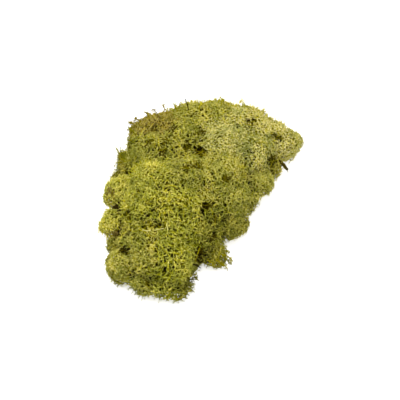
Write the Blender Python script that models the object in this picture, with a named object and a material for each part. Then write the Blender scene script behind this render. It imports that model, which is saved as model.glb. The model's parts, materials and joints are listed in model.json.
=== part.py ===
"""A clump of reindeer moss, a cushion lichen: rounded heads of forked sprigs on a mat of old stems.

Metres, +Z up. The clump rests on a small flat spot under the mat, and the origin is at the
middle of its bounding box's underside. +X is to the right and +Y is away from the viewer.
"""

import math
import random

import bmesh
import bpy
from mathutils import Matrix, Vector
from mathutils.bvhtree import BVHTree

MM = 0.001
SEED = 11

# The mat is a low lens, wide at the back and narrow at the front left. Its outline is in
# millimetres, and its levels are shares of that outline and heights in millimetres.
MAT_MIDDLE = Vector((-8, 14, 0)) * MM
MAT_OUTLINE = (
    (-62, 84),
    (-20, 100),
    (24, 101),
    (76, 84),
    (72, 50),
    (56, 24),
    (4, -38),
    (-30, -72),
    (-64, -68),
    (-76, -20),
    (-74, 40),
)
REST_SPOT_SHARE = 0.42
MAT_RIM_HEIGHT = 12
MAT_LEVELS = ((REST_SPOT_SHARE, 0), (0.72, 4), (1, MAT_RIM_HEIGHT), (0.72, 19), (0.3, 24))
# The mat's old stems lie side by side as ridges that run outwards from the rest spot.
MAT_RIDGES = 26
MAT_VALLEY_SHARE = 0.9
MAT_VALLEY_DEPTH = 2.5 * MM
OLD_STEM_SPACING = 24 * MM
OLD_STEM_SHARES = (0.6, 0.86)
OLD_STEM_LENGTH = 18 * MM
OLD_STEM_RADIUS = 1.1 * MM
OLD_STEM_LIFT = 0.8 * MM
OLD_STEM_DROP = 0.1
OLD_STEM_SWING = 0.6
OLD_STEM_FORK_SHARE = 0.5

# A head's sprigs stand out of a smaller core, and share its edge with the heads beside it.
CORE_SHARE = 0.6
CORE_POINTS = 20
ROOT_SINK = 3 * MM
ROOT_SHARE = 0.6
ROOT_POINTS = 5
HALF_GAP = 0.2 * MM
HEAD_LIFT = 1.6 * MM
SPRIG_SPACING = 16.2 * MM
STEM_RADIUS = 1.1 * MM
STEM_SINK = 3.5 * MM
FORK_SHARE = 0.4
TIP_SPREAD = (0.75, 1.2)
TIP_SWING = 0.3
TIP_LENGTH = (0.9, 1.15)
HEAD_EDGE = (0.95, 1.02)
LEAST_SPRIG = 3.5 * MM
LEAST_TIP = 1.5 * MM
LEAST_SPRIGS = 16
GROWTH_SHIFT = 0.3
MERGE = 0.25 * MM
FLAT_ANGLE = math.radians(0.5)

# Centre x, y and z and radius of each rounded head, in millimetres, and its colour.
HEADS = {
    "head_left_1": (-84, 20, 21, 22, "yellow"),
    "head_left_2": (-93, -20, 17, 18, "yellow"),
    "head_left_3": (-88, -45, 15, 14, "dark"),
    "head_left_4": (-81, -73, 20, 22, "olive"),
    "head_left_5": (-73, -24, 18, 13, "dark"),
    "head_front_1": (-58, -87, 17, 18, "olive"),
    "head_front_2": (-38, -88, 18, 18, "yellow"),
    "head_front_3": (-16, -93, 13, 14, "dark"),
    "head_front_4": (-13, -67, 16, 16, "olive"),
    "head_right_1": (13, -52, 16, 18, "dark"),
    "head_right_2": (34, -22, 21, 21, "dark"),
    "head_right_3": (53, 6, 17, 15, "olive"),
    "head_right_4": (64, 29, 22, 20, "olive"),
    "head_right_5": (83, 51, 18, 12, "dark"),
    "head_right_6": (93, 78, 26, 22, "pale"),
    "head_top_1": (73, 90, 38, 20, "pale"),
    "head_top_2": (47, 101, 40, 21, "pale"),
    "head_top_3": (18, 107, 42, 21, "olive"),
    "head_top_4": (-11, 104, 42, 21, "olive"),
    "head_top_5": (-40, 98, 38, 20, "brown"),
    "head_top_6": (-62, 93, 32, 17.5, "brown"),
    "head_shoulder_1": (-72, 65, 28, 20, "olive"),
    "head_shoulder_2": (-81, 45, 22, 15.5, "dark"),
    "head_crown_1": (-45, 51, 44, 21, "olive"),
    "head_crown_2": (-16, 67, 48, 20, "olive"),
    "head_crown_3": (25, 63, 50, 24, "pale"),
    "head_crown_4": (58, 58, 42, 21, "pale"),
    "head_crown_5": (-49, 16, 48, 24, "yellow"),
    "head_crown_6": (-11, 19, 52, 23, "olive"),
    "head_crown_7": (25, 25, 48, 22, "olive"),
    "head_crown_8": (-58, -10, 38, 21, "yellow"),
    "head_crown_9": (-22, -16, 46, 25, "yellow"),
    "head_crown_10": (9, 2, 40, 19, "olive"),
    "head_crown_11": (33, 1, 38, 19, "olive"),
    "head_crown_12": (-56, -48, 30, 22, "olive"),
    "head_crown_13": (-25, -47, 34, 23, "yellow"),
    "head_crown_14": (4, -33, 30, 19, "dark"),
    "head_crown_15": (-51, -72, 26, 19, "olive"),
    "head_crown_16": (-30, -73, 28, 19, "yellow"),
    "head_crown_17": (5, 44, 36, 15, "dark"),
    "head_crown_18": (4, 86, 38, 17, "olive"),
    "head_crown_19": (44, 82, 36, 15, "olive"),
    "head_crown_20": (-37, 75, 34, 15, "brown"),
    "head_back_1": (-58, 99, 17, 18.5, "brown"),
    "head_back_2": (-28, 109, 18, 21, "olive"),
    "head_back_3": (6, 117, 18, 22, "olive"),
    "head_back_4": (39, 115, 18, 21, "olive"),
    "head_back_5": (70, 102, 18, 20, "pale"),
}

# Linear colours of the sprigs and of the dead stems below them.
COLOURS = {
    "yellow": (0.300, 0.275, 0.040, 1),
    "olive": (0.200, 0.190, 0.030, 1),
    "pale": (0.330, 0.320, 0.100, 1),
    "dark": (0.110, 0.105, 0.018, 1),
    "brown": (0.150, 0.125, 0.030, 1),
    "old_stem": (0.050, 0.030, 0.018, 1),
}
ROUGHNESS = 0.9


class Cell:
    """The convex room that one piece may grow in, held by planes that face outward."""

    def __init__(self):
        self.planes = []

    def add(self, point, normal):
        self.planes.append((point, normal.normalized()))

    def depth(self, point):
        """How far a point lies inside the nearest plane, less than 0 if it is outside."""
        return min((place - point).dot(normal) for place, normal in self.planes)

    def reach(self, start, direction, margin):
        """How far a line runs from start before it comes within margin of a plane."""
        far = math.inf
        for place, normal in self.planes:
            towards = direction.dot(normal)
            if towards > 1e-6:
                far = min(far, ((place - start).dot(normal) - margin) / towards)
        return far


def clear_scene():
    for obj in list(bpy.data.objects):
        bpy.data.objects.remove(obj, do_unlink=True)


def material(name, colour):
    """A matt, dry plant surface."""
    found = bpy.data.materials.get(name)
    if found:
        return found
    made = bpy.data.materials.new(name)
    made.use_nodes = True
    shader = made.node_tree.nodes["Principled BSDF"]
    shader.inputs["Base Color"].default_value = colour
    shader.inputs["Roughness"].default_value = ROUGHNESS
    shader.inputs["Metallic"].default_value = 0.0
    return made


def even_directions(count, turn):
    """Directions spread evenly over a sphere, along a golden-angle spiral."""
    golden = math.pi * (3 - math.sqrt(5))
    for step in range(count):
        height = 1 - (2 * step + 1) / count
        ring = math.sqrt(1 - height * height)
        angle = golden * step + turn
        yield Vector((ring * math.cos(angle), ring * math.sin(angle), height))


def hull(points):
    """A closed mesh of the convex hull of the points."""
    bm = bmesh.new()
    for point in points:
        bm.verts.new(point)
    bmesh.ops.remove_doubles(bm, verts=bm.verts, dist=MERGE)
    made = bmesh.ops.convex_hull(bm, input=bm.verts)
    inner = [item for item in made["geom_interior"] if isinstance(item, bmesh.types.BMVert)]
    bmesh.ops.delete(bm, geom=inner, context="VERTS")
    bmesh.ops.recalc_face_normals(bm, faces=bm.faces)
    return bm


def cut_convex(bm, place, normal):
    """The convex mesh with the part beyond a plane cut off and closed again."""
    geometry = bm.verts[:] + bm.edges[:] + bm.faces[:]
    bmesh.ops.bisect_plane(
        bm, geom=geometry, plane_co=place, plane_no=normal, clear_outer=True
    )
    kept = [vert.co.copy() for vert in bm.verts]
    bm.free()
    return hull(kept)


def object_from(bm, name):
    mesh = bpy.data.meshes.new(name)
    bm.to_mesh(mesh)
    bm.free()
    obj = bpy.data.objects.new(name, mesh)
    bpy.context.scene.collection.objects.link(obj)
    return obj


def add_sprig(bm, base, fork, radius, tips, turn):
    """A three-sided stem that forks into three pointed tips, closed at its root."""
    along = (fork - base).normalized()
    side = along.orthogonal().normalized()
    other = along.cross(side)
    corners = [
        side * math.cos(turn + math.tau * k / 3) + other * math.sin(turn + math.tau * k / 3)
        for k in range(3)
    ]
    low = [bm.verts.new(base + corner * radius) for corner in corners]
    high = [bm.verts.new(fork + corner * radius) for corner in corners]
    crotch = bm.verts.new(fork + along * radius)
    ends = [bm.verts.new(tip) for tip in tips]
    bm.faces.new((low[2], low[1], low[0]))
    for k in range(3):
        after = (k + 1) % 3
        bm.faces.new((low[k], low[after], high[after], high[k]))
        bm.faces.new((high[k], high[after], ends[k]))
        bm.faces.new((high[after], crotch, ends[k]))
        bm.faces.new((crotch, high[k], ends[k]))


def sprig(draw, cell, base, fork, far, radius):
    """One sprig as an object, or None where its tips have no room."""
    along = (fork - base).normalized()
    side = along.orthogonal().normalized()
    other = along.cross(side)
    turn = draw.uniform(0, math.tau)
    tips = []
    for k in range(3):
        angle = turn + math.tau * (k + 0.5) / 3 + draw.uniform(-TIP_SWING, TIP_SWING)
        spread = draw.uniform(*TIP_SPREAD)
        lean = along + (side * math.cos(angle) + other * math.sin(angle)) * spread
        lean.normalize()
        length = far * draw.uniform(*TIP_LENGTH)
        length = min(length, cell.reach(fork, lean, HALF_GAP))
        if length < LEAST_TIP:
            return None
        tips.append(fork + lean * length)
    bm = bmesh.new()
    add_sprig(bm, base, fork, radius, tips, turn)
    return object_from(bm, "sprig")


def largest_shell(bm):
    """Drops every shell but the largest, such as a sealed hollow or a loose scrap."""
    left = set(bm.faces)
    shells = []
    while left:
        shell = set()
        waiting = [left.pop()]
        while waiting:
            face = waiting.pop()
            shell.add(face)
            for edge in face.edges:
                for near in edge.link_faces:
                    if near in left:
                        left.discard(near)
                        waiting.append(near)
        shells.append(shell)
    shells.sort(key=len)
    for shell in shells[:-1]:
        bmesh.ops.delete(bm, geom=list(shell), context="FACES")


def fuse(body, sprigs):
    """The body and its sprigs as one solid, by one Boolean union on their collection."""
    helpers = bpy.data.collections.new(body.name + "_sprigs")
    bpy.context.scene.collection.children.link(helpers)
    for obj in sprigs:
        bpy.context.scene.collection.objects.unlink(obj)
        helpers.objects.link(obj)
    union = body.modifiers.new("fuse", "BOOLEAN")
    union.operation = "UNION"
    union.operand_type = "COLLECTION"
    union.collection = helpers
    union.solver = "EXACT"
    bpy.context.view_layer.update()
    graph = bpy.context.evaluated_depsgraph_get()
    fused = bpy.data.meshes.new_from_object(body.evaluated_get(graph))
    body.modifiers.remove(union)
    bm = bmesh.new()
    bm.from_mesh(fused)
    bpy.data.meshes.remove(fused)
    largest_shell(bm)
    bmesh.ops.triangulate(bm, faces=bm.faces)
    bm.to_mesh(body.data)
    bm.free()
    for obj in sprigs:
        bpy.data.objects.remove(obj, do_unlink=True)
    bpy.data.collections.remove(helpers)


def mat_ring(share, height):
    """One level outline of the mat."""
    lift = Vector((0, 0, height))
    return [
        MAT_MIDDLE + (Vector((x, y, 0)) * MM - MAT_MIDDLE) * share + lift
        for x, y in MAT_OUTLINE
    ]


def mat_envelope():
    """The mat's convex outer form, which the heads stay clear of."""
    points = []
    for share, height in MAT_LEVELS:
        points += mat_ring(share, height * MM)
    return hull(points)


def along_ring(ring, share):
    """The point a share of the way round a closed outline."""
    sides = list(zip(ring, ring[1:] + ring[:1]))
    left = share * sum((end - start).length for start, end in sides)
    for start, end in sides:
        length = (end - start).length
        if left <= length:
            return start.lerp(end, left / length)
        left -= length
    return ring[0]


def mat_body():
    """The mat: ridges of old stems from the flat rest spot over the rim, with valleys between."""
    bm = bmesh.new()
    rings = []
    for share, height in MAT_LEVELS:
        ring = mat_ring(share, height * MM)
        verts = []
        for step in range(2 * MAT_RIDGES):
            point = along_ring(ring, step / (2 * MAT_RIDGES))
            if step % 2:
                pulled = MAT_MIDDLE.lerp(point, MAT_VALLEY_SHARE)
                pulled.z = point.z
                if point.z > 0:
                    pulled.z += math.copysign(MAT_VALLEY_DEPTH, MAT_RIM_HEIGHT * MM - point.z)
                point = pulled
            verts.append(bm.verts.new(point))
        rings.append(verts)
    for lower, upper in zip(rings, rings[1:]):
        for step in range(2 * MAT_RIDGES):
            after = (step + 1) % (2 * MAT_RIDGES)
            bm.faces.new((lower[step], lower[after], upper[after], upper[step]))
    bm.faces.new(rings[0])
    bm.faces.new(rings[-1])
    bmesh.ops.triangulate(bm, faces=bm.faces)
    bmesh.ops.recalc_face_normals(bm, faces=bm.faces)
    return bm


def head_spots(skin):
    """For each head, its centre, its radius and where it meets the mat."""
    spots = {}
    for name, (x, y, z, radius, _) in HEADS.items():
        centre = Vector((x, y, z)) * MM
        contact = skin.find_nearest(centre)[0]
        spots[name] = (centre, radius * MM, contact)
    return spots


def head_cell(name, spots):
    """The room of one head: between its neighbours, clear of the mat and the ground."""
    centre, radius, contact = spots[name]
    cell = Cell()
    cell.add(Vector((0, 0, HEAD_LIFT)), Vector((0, 0, -1)))
    to_mat = (contact - centre).normalized()
    cell.add(contact - to_mat * HALF_GAP * 2, to_mat)
    for other, (place, size, _) in spots.items():
        apart = place - centre
        if other == name or apart.length > 2 * (radius + size):
            continue
        share = (apart.length_squared + radius**2 - size**2) / (2 * apart.length_squared)
        cell.add(centre + apart * share - apart.normalized() * HALF_GAP, apart)
    return cell


def head_core(spot, cell, turn):
    """The smaller core that the sprigs stand out of, drawn down to the head's root."""
    centre, radius, contact = spot
    inward = (contact - centre).normalized()
    side = inward.orthogonal().normalized()
    points = []
    for step in range(ROOT_POINTS):
        arm = Matrix.Rotation(math.tau * step / ROOT_POINTS, 3, inward) @ side
        points.append(contact + inward * ROOT_SINK + arm * radius * ROOT_SHARE)
    for direction in even_directions(CORE_POINTS, turn):
        points.append(centre + direction * radius * CORE_SHARE)
    bm = hull(points)
    for place, normal in cell.planes:
        bm = cut_convex(bm, place, normal)
    bmesh.ops.dissolve_limit(bm, angle_limit=FLAT_ANGLE, verts=bm.verts, edges=bm.edges)
    return bm


def head_sprigs(draw, spot, cell, core):
    """The head's sprigs, evenly over its open side."""
    centre, radius, contact = spot
    inward = (contact - centre).normalized()
    growth = centre + inward * radius * GROWTH_SHIFT
    skin = BVHTree.FromBMesh(core)
    count = max(LEAST_SPRIGS, round(4 * math.pi * (radius / SPRIG_SPACING) ** 2))
    made = []
    for direction in even_directions(count, draw.uniform(0, math.tau)):
        end = centre + direction * radius * draw.uniform(*HEAD_EDGE)
        along = (end - growth).normalized()
        core_end = skin.ray_cast(growth, along)[0]
        if core_end is None:
            continue
        out = (core_end - growth).length
        far = min((end - growth).length, cell.reach(growth, along, STEM_RADIUS))
        if far - out < LEAST_SPRIG:
            continue
        base = growth + along * max(out - STEM_SINK, 0)
        fork = growth + along * (out + (far - out) * FORK_SHARE)
        if min(cell.depth(base), cell.depth(fork)) < STEM_RADIUS + HALF_GAP:
            continue
        made.append(sprig(draw, cell, base, fork, far - (fork - growth).length, STEM_RADIUS))
    return [obj for obj in made if obj]


def make_head(draw, name, spots):
    spot = spots[name]
    cell = head_cell(name, spots)
    core = head_core(spot, cell, draw.uniform(0, math.tau))
    sprigs = head_sprigs(draw, spot, cell, core)
    head = object_from(core, name)
    fuse(head, sprigs)
    tint = HEADS[name][-1]
    head.data.materials.append(material("lichen_" + tint, COLOURS[tint]))
    return head


def mat_cell(spots):
    """The room of the mat's old stems: on its own side of every head, above the ground."""
    cell = Cell()
    cell.add(Vector((0, 0, OLD_STEM_LIFT)), Vector((0, 0, -1)))
    for centre, _, contact in spots.values():
        cell.add(contact, centre - contact)
    return cell


def spaced_ring(ring, spacing):
    """Points along a closed outline, about a spacing apart, each with the way it faces."""
    for start, end in zip(ring, ring[1:] + ring[:1]):
        count = max(1, round((end - start).length / spacing))
        outward = (end - start).cross(Vector((0, 0, 1))).normalized()
        for step in range(count):
            yield start.lerp(end, (step + 0.5) / count), outward


def old_stem(draw, cell, skin, place, outward):
    """One old stem that leaves the mat's underside and runs outwards, or None."""
    swing = draw.uniform(-OLD_STEM_SWING, OLD_STEM_SWING)
    turned = Matrix.Rotation(swing, 3, "Z") @ outward
    along = (turned - Vector((0, 0, OLD_STEM_DROP))).normalized()
    root = skin.find_nearest(place)[0] + Vector((0, 0, OLD_STEM_RADIUS))
    base = root - along * STEM_SINK
    far = min(OLD_STEM_LENGTH, cell.reach(root, along, OLD_STEM_RADIUS))
    fork = root + along * far * OLD_STEM_FORK_SHARE
    if min(cell.depth(fork), cell.depth(base)) < OLD_STEM_RADIUS:
        return None
    return sprig(draw, cell, base, fork, far * (1 - OLD_STEM_FORK_SHARE), OLD_STEM_RADIUS)


def make_mat(draw, spots):
    """The mat, with the ends of old stems all round its underside."""
    cell = mat_cell(spots)
    body = mat_body()
    skin = BVHTree.FromBMesh(body)
    stems = []
    for share in OLD_STEM_SHARES:
        for place, outward in spaced_ring(mat_ring(share, 0), OLD_STEM_SPACING):
            stems.append(old_stem(draw, cell, skin, place, outward))
    mat = object_from(body, "old_stem_mat")
    fuse(mat, [obj for obj in stems if obj])
    mat.data.materials.append(material("old_stems", COLOURS["old_stem"]))
    return mat


def centre_on_origin(objects):
    """Puts the middle of the bounding box's underside at the origin."""
    points = [vert.co for obj in objects for vert in obj.data.vertices]
    low = Vector(min(point[axis] for point in points) for axis in range(3))
    high = Vector(max(point[axis] for point in points) for axis in range(3))
    shift = Vector((-(low.x + high.x) / 2, -(low.y + high.y) / 2, -low.z))
    for obj in objects:
        obj.data.transform(Matrix.Translation(shift))


def main():
    clear_scene()
    draw = random.Random(SEED)
    spots = head_spots(BVHTree.FromBMesh(mat_envelope()))
    pieces = [make_mat(draw, spots)]
    for name in HEADS:
        pieces.append(make_head(draw, name, spots))
    centre_on_origin(pieces)


main()
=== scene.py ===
"""A preserved clump of reindeer moss, a cushion lichen that is sold dyed and kept soft for craft work.

Every head gets its real twigs, podetia that fork again and again and end in whorls of fine tips just
under the head's outline, and the mat below gets its old brown stems.
"""

import json
import math
from typing import NamedTuple

import bmesh
import bpy
import numpy as np
from mathutils import Euler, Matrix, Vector
from mathutils.bvhtree import BVHTree
from mathutils.kdtree import KDTree


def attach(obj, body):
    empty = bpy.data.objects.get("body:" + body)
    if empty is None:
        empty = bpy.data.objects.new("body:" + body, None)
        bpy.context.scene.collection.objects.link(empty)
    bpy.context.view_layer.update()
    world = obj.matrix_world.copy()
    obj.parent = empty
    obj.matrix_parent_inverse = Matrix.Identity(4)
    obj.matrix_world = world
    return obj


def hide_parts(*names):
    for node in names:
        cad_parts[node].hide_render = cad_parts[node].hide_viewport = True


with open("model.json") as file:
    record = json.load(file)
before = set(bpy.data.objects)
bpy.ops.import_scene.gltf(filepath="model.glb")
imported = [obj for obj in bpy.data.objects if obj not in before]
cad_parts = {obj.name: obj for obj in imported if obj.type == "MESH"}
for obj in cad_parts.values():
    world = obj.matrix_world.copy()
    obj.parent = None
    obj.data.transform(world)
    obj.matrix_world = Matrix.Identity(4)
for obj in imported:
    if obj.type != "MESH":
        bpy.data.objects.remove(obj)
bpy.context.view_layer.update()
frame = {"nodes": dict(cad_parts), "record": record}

bl_info = {
    "name": "Reindeer Moss Clump",
    "version": (1, 0, 0),
    "blender": (4, 5, 0),
    "location": "View3D > Sidebar > Moss",
    "description": "Grows a clump of reindeer moss around its heads and its mat of old stems",
    "category": "Add Mesh",
}

MM = 0.001
SEED = 29
BODY = "root"
MAT_NODE = "old_stem_mat"
HEAD_PREFIX = "head_"
# How far apart the old stems start, and the longest edge of the litter under them.
OLD_STEM_SPACING = 4.2 * MM
LITTER_EDGE = 5 * MM

# The photograph's frame, in pixels, and the sensor that the lens is for.
PHOTO_SIDE = 400
SENSOR = 36 * MM

GOLDEN_ANGLE = math.pi * (3 - math.sqrt(5))

# The light table's own glow, and the side light's power as a share of the key light's.
TABLE_GLOW = 0.6
SIDE_SHARE = 0.28

# How softly an outline's flat faces turn into one another, and how many meet at a spot.
EDGE_SOFTNESS = 1.4 * MM
EDGE_FACES = 3.0
# How far the heads' twigs reach into the creases between them, and over a shared edge.
CREASE_FILL = 7.2 * MM
RIM_FILL = 4.8 * MM
RIM_HEADS = ("head_left", "head_front", "head_right")
SHARED_EDGE = 1.5 * MM
NEIGHBOUR_GAP = 15 * MM
LEAST_SPOTS = 40
# The usual radius of a head, that long twigs curl over.
HEAD_RADIUS = 18 * MM
# How many spots are tried for each that is kept, and how far down a side faces to count as under.
CROWDING = 4.0
UNDERSIDE = -0.3
HALVINGS = 9

# Heads with loose sprigs where their outline turns away from the camera, and how far round it.
FRINGED_HEADS = ("head_back", "head_top", "head_shoulder", "head_crown", "head_front", "head_right_1")
RIM_TURNS = (-0.93, 0.5)


class Layer(NamedTuple):
    """One depth of whorls: spacing as a share of the top layer's, depth, each whorl's arms and their
    length, whether they fork, and how young they are."""

    name: str
    spacing: float
    depth: float
    arms: int
    arm: float
    forked: bool
    youth: float


# The deeper layers have less youth and so are darker: partly the real browning of old stems and partly
# painted shade deep in the clump.
LAYERS = (
    Layer("tips", 1.0, 1.3 * MM, 4, 3.3 * MM, True, 1.0),
    Layer("middle", 1.25, 4.4 * MM, 4, 3.9 * MM, True, 0.62),
    Layer("deep", 1.6, 7.3 * MM, 4, 5.5 * MM, False, 0.43),
)
# The solid core inside a head, that far under its tips: packed litter, near black partly as painted shade.
CORE_DEPTH = 10.5 * MM


class Place(NamedTuple):
    """A place on the clump, in the photograph's pixels, and how much of what its table is for is there."""

    x: float
    y: float
    radius: float
    amount: float = 1


def dent(x, y, radius, depth):
    """A place with its depth in millimetres."""
    return Place(x, y, radius, depth * MM)


def table(kind, **rows):
    """Each named row as its kind."""
    return {name: kind(*row) for name, row in rows.items()}


# Holes in the green, where dead twigs show.
HOLLOWS = table(
    Place,
    crown=(201, 152, 4.6),
    crown_foot=(199, 164, 3.5),
    crown_left=(186, 147, 3.5),
    back=(201, 130, 3.8),
    back_left=(172, 128, 3.5),
    shoulder=(147, 145, 3.8),
    shoulder_right=(166, 140, 3.8),
    shoulder_low=(161, 152, 3.5),
    middle=(188, 167, 3.5),
    right=(272, 160, 5.6),
    right_upper=(278, 138, 3.5),
    flank=(226, 179, 3.0),
    flank_low=(209, 206, 3.5),
    open_side=(215, 219, 3.8),
    open_side_low=(212, 239, 3.5),
    front=(200, 253, 5.2),
    belly=(147, 226, 3.8),
    belly_right=(161, 224, 4.3),
    left=(126, 216, 4.3),
    lobe=(120, 249, 3.8),
    foot=(147, 281, 3.8),
    back_right=(250, 121, 3.1),
)


# Where the twigs lie lower than the plain outline, or stand out from it where the depth is below 0.
DENTS = table(
    dent,
    right_notch=(235, 247, 11, 4.2),
    front_notch=(202, 269, 7, 3.6),
    front_left_edge=(124, 285, 10, 2.4),
    front_left_corner=(110, 279, 8, 6),
    front_edge=(152, 298, 12, -0.2),
    tip_right_edge=(193, 288, 9, 13),
    flank_notch=(254, 211, 8, 7),
    back_left_edge=(163, 105, 18, 11.5),
    back_left_corner=(138, 116, 7, 9),
    back_edge=(207, 95, 19, 4.4),
    back_right_edge=(242, 99, 15, 5),
    back_far_right_edge=(277, 115, 12, 6.5),
    left_upper_notch=(123, 146, 8, 13),
    left_shoulder_notch=(113, 168, 8, 9),
    left_lobe_notch=(106, 239, 7, 1.6),
    left_lobe=(101, 200, 12, -4.2),
    left_lobe_foot=(108, 206, 6, -4.2),
    middle_lobe_foot=(99, 232, 6, -2),
    right_corner=(302, 138, 13, -6.5),
    right_corner_foot=(293, 158, 8, -1.2),
    right_flank=(251, 219, 7, -2.6),
    open_side_corner=(225, 261, 9, -7),
    crown_valley=(197, 152, 11, 2),
    shoulder_valley=(164, 143, 10, 2),
    right_valley=(273, 161, 8, 2.5),
    middle_rise=(180, 208, 14, 4.5),
    left_rise=(150, 176, 13, 2.5),
    belly_valley=(154, 225, 10, 2.5),
    open_side_valley=(213, 222, 12, 4),
    front_valley=(201, 253, 8, 3),
    foot_valley=(157, 272, 12, 3),
    tip_edge=(173, 299, 7, -6),
    right_flank_upper=(277, 182, 6, -1.6),
    right_flank_middle=(262, 201, 5, -2),
    right_flank_dip=(269, 196, 4, 1.6),
    back_middle_edge=(190, 97, 7, 1.6),
)


# Where the twigs stand looser, with longer arms, or closer where the amount is below 0.
OPENINGS = table(
    Place,
    middle_net=(172, 202, 20, 0.75),
    belly=(136, 222, 17, 0.8),
    open_side=(212, 214, 16, 0.75),
    open_side_foot=(226, 257, 13, 1.5),
    front_strands=(176, 252, 17, 0.9),
    foot=(160, 272, 14, 0.6),
    tip=(180, 294, 10, 0.9),
    back_left=(180, 132, 20, 0.5),
    shoulder=(146, 138, 14, 0.5),
    right_strands=(262, 142, 18, 0.5),
    left_lobe=(114, 186, 14, -0.6),
    middle_lobe=(109, 224, 12, -0.6),
    front_lobe=(112, 268, 14, -0.4),
    crown_lawn=(225, 150, 18, -0.5),
    left_lawn=(145, 182, 14, -0.5),
    flank_lawn=(236, 226, 12, -0.5),
    right_lawn=(262, 180, 14, -0.4),
)


class Stray(NamedTuple):
    """A twig that stands out: where it leaves the clump and ends, in the photograph's pixels, its
    width in millimetres, its age and how many side twigs it has."""

    x: float
    y: float
    end_x: float
    end_y: float
    width: float
    age: float
    side_twigs: int


STRAYS = table(
    Stray,
    cut_stub=(282, 162, 288, 170, 4.2, 0.3, 1),
    back_spike=(189, 108, 185, 99, 1.3, 0.22, 2),
    back_spike_right=(199, 107, 202, 101, 1.1, 0.75, 8),
    back=(221, 104, 223, 98, 1.1, 0.75, 10),
    back_left=(166, 111, 163, 106, 1.1, 0.6, 12),
    shoulder=(137, 126, 129, 121, 1.1, 0.6, 14),
    shoulder_low=(135, 133, 128, 129, 1.1, 0.6, 12),
    shoulder_foot=(134, 142, 127, 139, 1.1, 0.6, 12),
    left_tuft=(124, 161, 116, 147, 1.8, 0.75, 16),
    left_tuft_low=(122, 161, 113, 166, 1.2, 0.7, 4),
    open_side=(222, 254, 232, 265, 1.2, 0.7, 12),
    open_side_upper=(220, 247, 227, 250, 1.1, 0.7, 8),
    open_side_low=(213, 258, 224, 266, 1.2, 0.7, 12),
    open_side_edge=(207, 260, 214, 265, 1.3, 0.75, 5),
    front_dark_stub=(195, 264, 201, 268, 1.8, 0.2, 2),
    front_edge=(189, 277, 197, 273, 1.3, 0.6, 7),
    front_edge_low=(188, 281, 196, 279, 1.2, 0.5, 6),
    front_twiglet=(188, 284, 195, 283, 1.2, 0.95, 2),
    front_twiglet_low=(187, 289, 193, 291, 1.2, 0.6, 4),
    tip=(177, 293, 176, 301, 1.4, 0.6, 5),
    tip_left=(172, 291, 167, 297, 1.3, 0.6, 5),
    tip_right=(183, 291, 186, 297, 1.3, 0.6, 5),
    belly_bare_twig=(139, 229, 151, 231, 0.8, 1, 0),
    belly_bare_twig_right=(153, 230, 164, 228, 0.8, 1, 0),
    belly_bare_twig_up=(166, 222, 168, 230, 0.8, 1, 0),
    left_bare_twig=(122, 221, 133, 210, 0.6, 0.9, 1),
    left_bare_twig_low=(128, 226, 140, 221, 0.8, 0.9, 3),
    left_tuft_inner=(127, 161, 120, 150, 1.8, 0.75, 16),
    front_edge_middle=(190, 279, 198, 277, 1.3, 0.6, 8),
    open_side_tip=(218, 251, 232, 260, 1.2, 0.7, 14),
    open_side_foot=(215, 257, 228, 268, 1.2, 0.65, 14),
    left_tuft_foot=(126, 163, 118, 155, 1.6, 0.7, 14),
    shoulder_top=(141, 122, 135, 117, 1.1, 0.6, 14),
    back_corner=(149, 117, 146, 112, 1.1, 0.6, 14),
    back_left_low=(157, 114, 154, 109, 1.1, 0.6, 12),
    back_middle=(177, 109, 174, 104, 1.1, 0.65, 10),
    back_right=(238, 105, 241, 100, 1.1, 0.75, 10),
    back_far=(262, 113, 265, 109, 1.1, 0.75, 10),
)
# Where along a stray its rings are: the last two are close, so that it ends bluntly.
STRAY_SHARES = (0, 0.3, 0.65, 0.94, 1)
STRAY_WOBBLE = 0.3 * MM
# The dead twigs in each hole.
BARE_TWIGS = 15
# How loosely the twigs stand where long strands lie over them, and the highest tint of a strand.
STRAND_LOOSENESS = 0.3
STRAND_TINT = 0.65


# Where the dye took differently, as in the rusty patches and the green tuft, and where shade or light
# is painted on, with the tint there, and how far past its radius a patch frays.
PATCH_REACH = 1.3
PATCHES = table(
    Place,
    left_rust=(108, 193, 7, 0.9),
    lobe_rust=(109, 234, 6, 0.9),
    back_rust=(144, 122, 4.5, 0.86),
    back_rust_right=(157, 118, 5, 0.86),
    green_tuft=(145, 114, 5, 0.25),
    # The rows from here on that end in _shade are painted shade, and those that end in _light are painted
    # light.
    belly_shade=(137, 219, 13, 0.2),
    left_shade=(126, 248, 11, 0.18),
    open_side_shade=(214, 216, 14, 0.14),
    foot_shade=(160, 272, 13, 0.14),
    middle_shade=(182, 214, 14, 0.16),
    tip_shade=(180, 290, 9, 0.16),
    right_light=(232, 160, 12, 0.52),
    right_corner_light=(284, 141, 13, 0.58),
    middle_lobe_light=(107, 225, 11, 0.56),
    front_lobe_light=(112, 264, 9, 0.5),
    belly_low_shade=(137, 240, 10, 0.18),
    flank_shade=(241, 213, 11, 0.18),
    right_flank_shade=(268, 190, 9, 0.3),
    back_edge_shade=(238, 107, 12, 0.36),
    middle_rise_shade=(188, 190, 10, 0.24),
    foot_left_light=(133, 268, 9, 0.45),
    left_lobe_light=(108, 204, 7, 0.54),
    crown_shade=(199, 156, 9, 0.14),
    back_shade=(172, 129, 7, 0.2),
    shoulder_shade=(149, 145, 7, 0.22),
    right_shade=(271, 161, 8, 0.15),
    front_shade=(203, 252, 9, 0.1),
    back_left_shade=(176, 111, 10, 0.28),
    back_middle_shade=(193, 106, 8, 0.34),
)


def length(name, description, default, least=0):
    """A length that a user may change."""
    return bpy.props.FloatProperty(
        name=name,
        description=description,
        default=default,
        min=least,
        precision=5,
        subtype="DISTANCE",
        unit="LENGTH",
    )


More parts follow.
